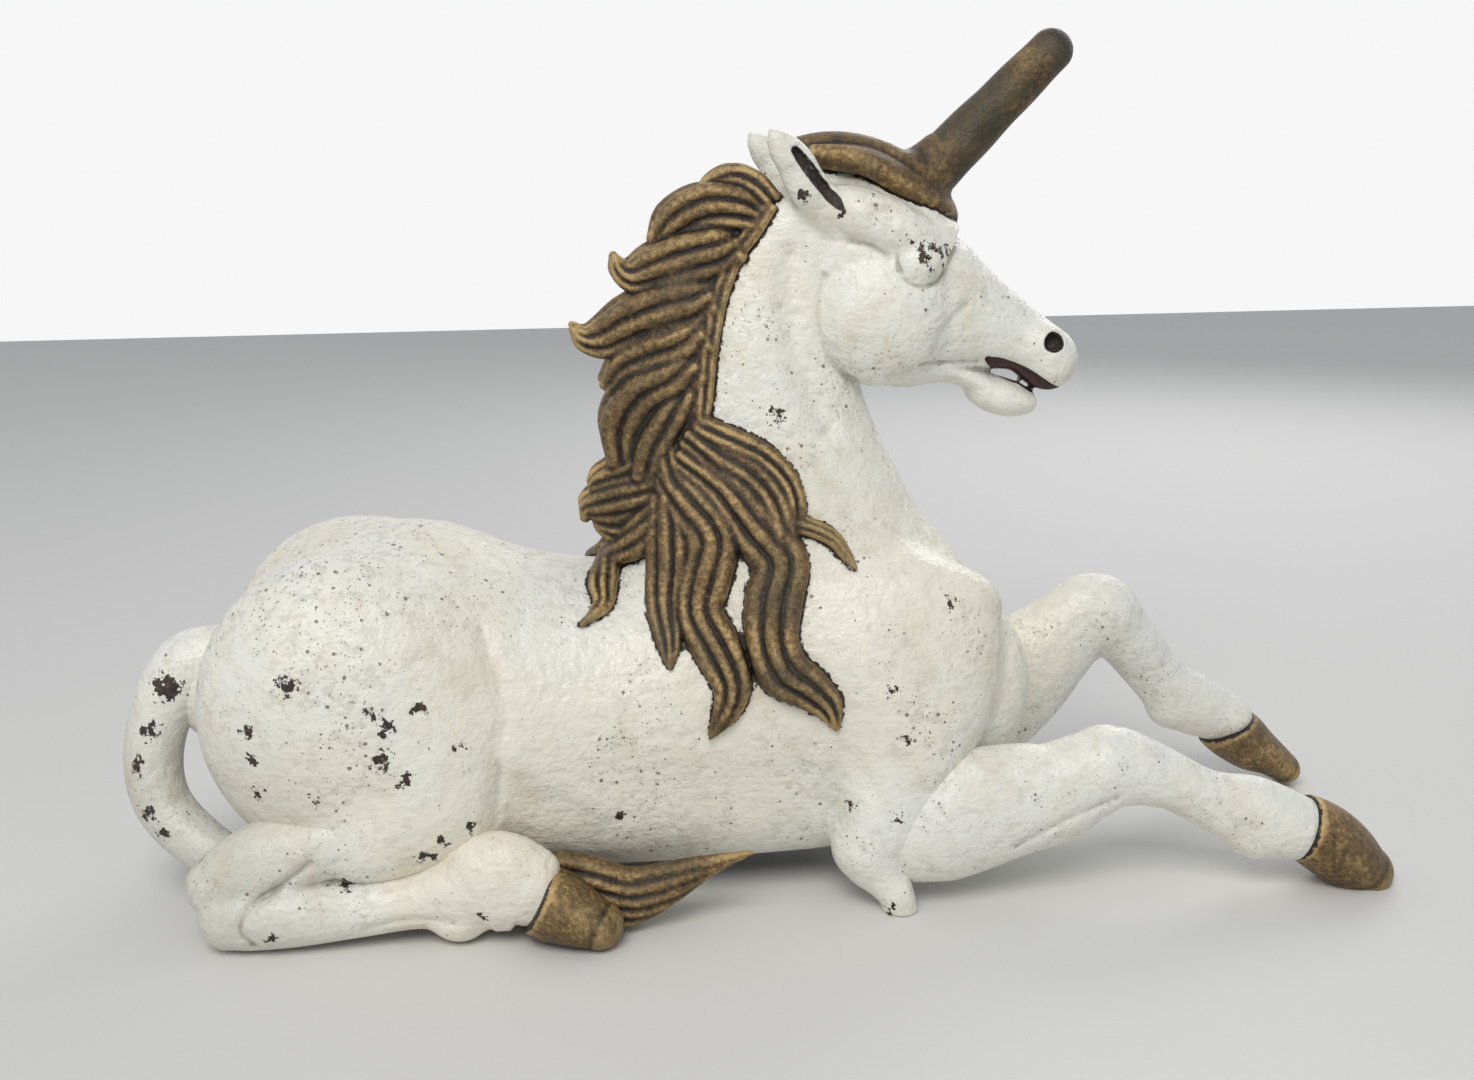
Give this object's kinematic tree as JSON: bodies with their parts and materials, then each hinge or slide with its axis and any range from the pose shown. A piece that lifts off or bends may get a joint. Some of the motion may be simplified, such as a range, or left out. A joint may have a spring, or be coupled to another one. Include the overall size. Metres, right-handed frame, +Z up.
{
  "type": "unicorn figurine",
  "caption": "Lying unicorn ornament of painted cast iron, hollow body in halves with bolted legs, hooves, tail, mane and a straight horn.",
  "frame": {"origin": "middle of the bounding box on the floor that the figure lies on; the parting plane of the two half castings is Y 0", "axes": "+X towards the head and fore hooves, +Y towards the animal's left, +Z up"},
  "size_m": [0.6605, 0.2192, 0.4292],
  "materials": {
    "cream_enamel": "worn cream-white enamel on cast iron, pitted and chipped to black iron",
    "gold_paint": "aged bronze-gold paint, bright on the high places and nearly black in the grooves",
    "steel_hardware": "plain steel fasteners"
  },
  "bodies": {
    "root": {"body_shell_right": "cream_enamel", "body_shell_left": "cream_enamel", "foreleg_right": "cream_enamel", "foreleg_left": "cream_enamel", "hind_leg_right": "cream_enamel", "hind_leg_left": "cream_enamel", "tail": "cream_enamel", "tail_tuft": "gold_paint", "mane_right": "gold_paint", "mane_left": "gold_paint", "forelock": "gold_paint", "horn": "gold_paint", "hoof_fore_right": "gold_paint", "hoof_fore_left": "gold_paint", "hoof_hind_right": "gold_paint", "hoof_hind_left": "gold_paint", "horn_stud": "steel_hardware", "tail_bolt": "steel_hardware", "tuft_stud": "steel_hardware", "tie_bolts": "steel_hardware", "tie_washers": "steel_hardware", "tie_nuts": "steel_hardware", "leg_bolts": "steel_hardware", "hoof_studs": "steel_hardware", "mane_pins": "steel_hardware"}
  },
  "joints": []
}
